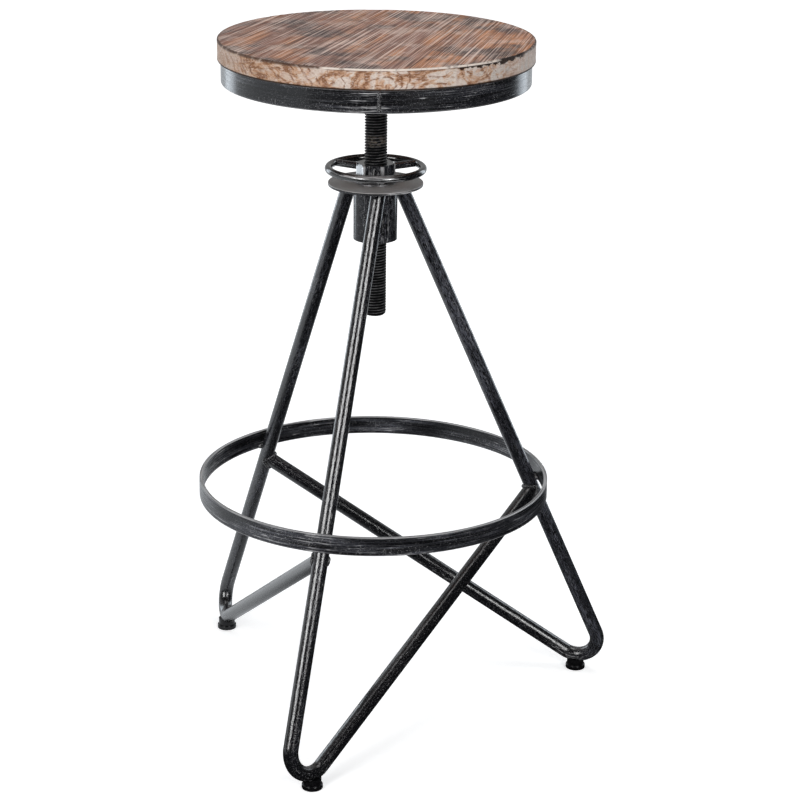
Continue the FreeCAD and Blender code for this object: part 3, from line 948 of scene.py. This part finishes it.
class STOOL_OT_hub(bpy.types.Operator):
    """Finish of the plate, sleeve, handwheel, post and washer"""

    bl_idname = "stool.hub"
    bl_label = "Hub and handwheel"

    def execute(self, context):
        _, colours, _ = settings()
        # the plate's top in plate grey: grey steel lightened as painted light
        plate = rubbed_black("plate paint", "ring", rub=0.2, rough=0.42,
                             lid=(PLATE_HIGH, colours.plate_grey), scuffs=((300.0, 35.0, 0.25),))
        sleeve = rubbed_black("sleeve paint", "upright", rub=0.6, rough=0.2, gloss=0.3)
        wheel = rubbed_black("wheel paint", "ring", rub=0.15, rough=0.12, gloss=1.0, haze=0.1,
                             scuffs=((264.0, 60.0, 0.26),))
        nut = rubbed_black("nut paint", "upright", rub=0.5, rough=0.16, gloss=1.0, corners=(0.0194, 0.0203))
        spokes = rubbed_black("spoke paint", "solid", rub=0.7, rough=0.16, gloss=1.0)
        bushes = moulded_plastic("bush plastic", (0.02, 0.02, 0.021), (0.045, 0.045, 0.046), 0.45)
        paint(plate, "top_plate")
        paint(sleeve, "guide_sleeve")
        paint(wheel, "handwheel_rim")
        paint(nut, "handwheel_nut")
        paint(spokes, "handwheel_spokes")
        paint(black_thread("post thread"), "lead_screw")
        paint(bare_steel("turned steel"), "thrust_washer")
        paint(bushes, "guide_bush_upper", "guide_bush_lower")
        return {"FINISHED"}


class STOOL_OT_underside(bpy.types.Operator):
    """Finish of the bars, flange and screws under the seat"""

    bl_idname = "stool.underside"
    bl_label = "Seat underside"

    def execute(self, context):
        bars = rubbed_black("bar paint", "solid", rub=0.35, rough=0.36)
        paint(bars, "cross_bar", "cross_bar_halves", "seat_flange")
        paint(bare_steel("screw steel"), "seat_screws")
        return {"FINISHED"}


class STOOL_OT_glides(bpy.types.Operator):
    """Glossy finish of the foot glides"""

    bl_idname = "stool.glides"
    bl_label = "Foot glides"

    def execute(self, context):
        gloss = moulded_plastic("glide plastic", (0.002, 0.002, 0.0024), (0.006, 0.006, 0.0066), 0.1)
        paint(gloss, "foot_glide_1", "foot_glide_2", "foot_glide_3")
        return {"FINISHED"}


class STOOL_OT_stage(bpy.types.Operator):
    """Pale floor, even studio light and the camera"""

    bl_idname = "stool.stage"
    bl_label = "Stage"

    floor_reach = 40
    sensor_width = 36.0
    white = (1, 1, 1)
    cool = (0.84, 0.92, 1.0)
    lamps = (  # name, place, target, width, height, power, colour
        ("box_left", (-1.62, -1.9, 1.32), (0, -0.1, 0.4), 1.15, 1.3, 39.0, white),
        ("box_right", (1.22, -2.13, 1.25), (0, -0.1, 0.4), 1.0, 1.2, 31.0, white),
        ("top", (0.3, 0.2, 2.9), (0, 0, 0.7), 1.6, 1.6, 20.0, white),
        ("rim_left", (-1.35, 1.25, 0.75), (0, 0, 0.6), 0.55, 1.4, 7.5, cool),
        ("rim_right", (1.35, 1.25, 0.75), (0, 0, 0.6), 0.55, 1.4, 7.5, cool),
    )

    def execute(self, context):
        _, _, studio = settings()
        self.floor()
        self.world(studio)
        for lamp in self.lamps:
            self.lamp(*lamp)
        self.camera(studio)
        view = context.scene.view_settings
        view.view_transform = "Standard"
        return {"FINISHED"}

    def rays(self, web):
        """1 for what the camera sees itself, and 1 for what it sees mirrored."""
        path = web.add("ShaderNodeLightPath").outputs
        return path["Is Camera Ray"], web.highest(path["Is Glossy Ray"], path["Is Transmission Ray"])

    def lean(self, web, vector, left):
        """Grows to the back, and to the left by a share."""
        return web.vector("DOT_PRODUCT", vector, (-left, 1.0, 0.0))

    def floor(self):
        """White where the camera looks past the stool, and darker to the front in mirrored views."""
        low, far = CAD_BOX[0][2], self.floor_reach
        mesh = bpy.data.meshes.new("floor")
        corners = [(-far, -far, low), (far, -far, low), (far, far, low), (-far, far, low)]
        mesh.from_pydata(corners, [], [(0, 1, 2, 3)])
        floor = put("floor", mesh)
        material, web, shader = new_material("pale floor")
        direct, mirrored = self.rays(web)
        speck = web.noise(web.place(), scale=3.0, detail=2.0, rough=0.5)
        reach = web.vector("LENGTH", web.place())
        web.feed(shader, {
            "Base Color": web.mix(web.step(speck, 0.3, 0.7), (0.86, 0.86, 0.86), (0.88, 0.88, 0.88)),
            "Roughness": 0.9,
            "Emission Color": (1, 1, 1, 1),
            "Emission Strength": web.times(direct, web.step(reach, 0.5, 2.4, 0.5, 1.0))})
        glow = web.add("ShaderNodeEmission", {
            "Color": (0.92, 0.96, 1.0, 1.0),
            "Strength": web.step(self.lean(web, web.place(), 1.0), 0.0, 0.5, 0.02, 0.9)})
        both = web.add("ShaderNodeMixShader", {0: mirrored, 1: shader.outputs[0], 2: glow.outputs[0]})
        out = next(n for n in web.tree.nodes if n.type == "OUTPUT_MATERIAL")
        web.feed(out, {"Surface": both.outputs[0]})
        mesh.materials.append(material)

    def world(self, studio):
        """White for the camera, even light for the surfaces, and darker to the front in mirrored views."""
        world = bpy.data.worlds.new("studio")
        bpy.context.scene.world = world
        world.use_nodes = True
        world.node_tree.nodes.clear()
        web = Web(world.node_tree)
        direct, mirrored = self.rays(web)
        way = web.add("ShaderNodeTexCoord").outputs["Generated"]
        behind = web.step(self.lean(web, way, 0.35), -0.1, 0.6, 0.02, 0.45)
        seen = web.highest(direct, web.times(mirrored, behind))
        plain = web.minus(1.0, web.highest(direct, mirrored))
        strength = web.times_plus(plain, studio.dome, seen)
        background = web.add("ShaderNodeBackground", {"Color": (1, 1, 1, 1), "Strength": strength})
        web.add("ShaderNodeOutputWorld", {"Surface": background.outputs[0]})

    def lamp(self, name, place, target, width, height, power, colour):
        """A lamp with a lit rectangle that faces its target."""
        data = bpy.data.lights.new(name, "AREA")
        data.shape = "RECTANGLE"
        data.size, data.size_y = width, height
        data.energy = power
        data.color = colour
        lamp = put(name, data)
        lamp.visible_camera = False
        way = Vector(target) - Vector(place)
        lamp.matrix_world = Matrix.Translation(place) @ way.to_track_quat("-Z", "Y").to_matrix().to_4x4()

    def camera(self, studio):
        """The camera, turned by its pitch, yaw and roll."""
        data = bpy.data.cameras.new("camera")
        data.sensor_fit = "HORIZONTAL"
        data.sensor_width = self.sensor_width
        data.lens = studio.lens
        camera = put("camera", data)
        p, y, r = studio.camera_pitch, studio.camera_yaw, studio.camera_roll
        ahead = Vector((math.sin(y) * math.cos(p), math.cos(y) * math.cos(p), -math.sin(p)))
        right = Vector((math.cos(y), -math.sin(y), 0.0))
        up = Vector((math.sin(y) * math.sin(p), math.cos(y) * math.sin(p), math.cos(p)))
        x_axis = right * math.cos(r) + up * math.sin(r)
        y_axis = up * math.cos(r) - right * math.sin(r)
        turn = Matrix((x_axis, y_axis, -ahead)).transposed().to_4x4()
        camera.matrix_world = Matrix.Translation(studio.camera_place) @ turn
        bpy.context.scene.camera = camera


class STOOL_PT_panel(bpy.types.Panel):
    """Lists the stool's steps and settings"""

    bl_idname = "STOOL_PT_panel"
    bl_label = "Bar stool"
    bl_space_type = "VIEW_3D"
    bl_region_type = "UI"
    bl_category = "Stool"

    def draw(self, context):
        scene = context.scene
        for group in (scene.stool_sizes, scene.stool_colours, scene.stool_studio):
            box = self.layout.box()
            for name in group.__annotations__:
                box.prop(group, name)
        for step in STEPS:
            self.layout.operator(step.bl_idname)


STEPS = (
    STOOL_OT_legs,
    STOOL_OT_welds,
    STOOL_OT_seat_boards,
    STOOL_OT_hoops,
    STOOL_OT_hub,
    STOOL_OT_underside,
    STOOL_OT_glides,
    STOOL_OT_stage,
)
GROUPS = (("stool_sizes", StoolSizes), ("stool_colours", StoolColours), ("stool_studio", StoolStudio))


def register():
    for name, group in GROUPS:
        bpy.utils.register_class(group)
        setattr(bpy.types.Scene, name, bpy.props.PointerProperty(type=group))
    for kind in (*STEPS, STOOL_PT_panel):
        bpy.utils.register_class(kind)


def unregister():
    for kind in (STOOL_PT_panel, *reversed(STEPS)):
        bpy.utils.unregister_class(kind)
    for name, group in reversed(GROUPS):
        delattr(bpy.types.Scene, name)
        bpy.utils.unregister_class(group)


def main():
    register()
    bpy.ops.stool.legs()
    bpy.ops.stool.welds()
    bpy.ops.stool.seat_boards()
    bpy.ops.stool.hoops()
    bpy.ops.stool.hub()
    bpy.ops.stool.underside()
    bpy.ops.stool.glides()
    bpy.ops.stool.stage()


if __name__ == "__main__":
    main()
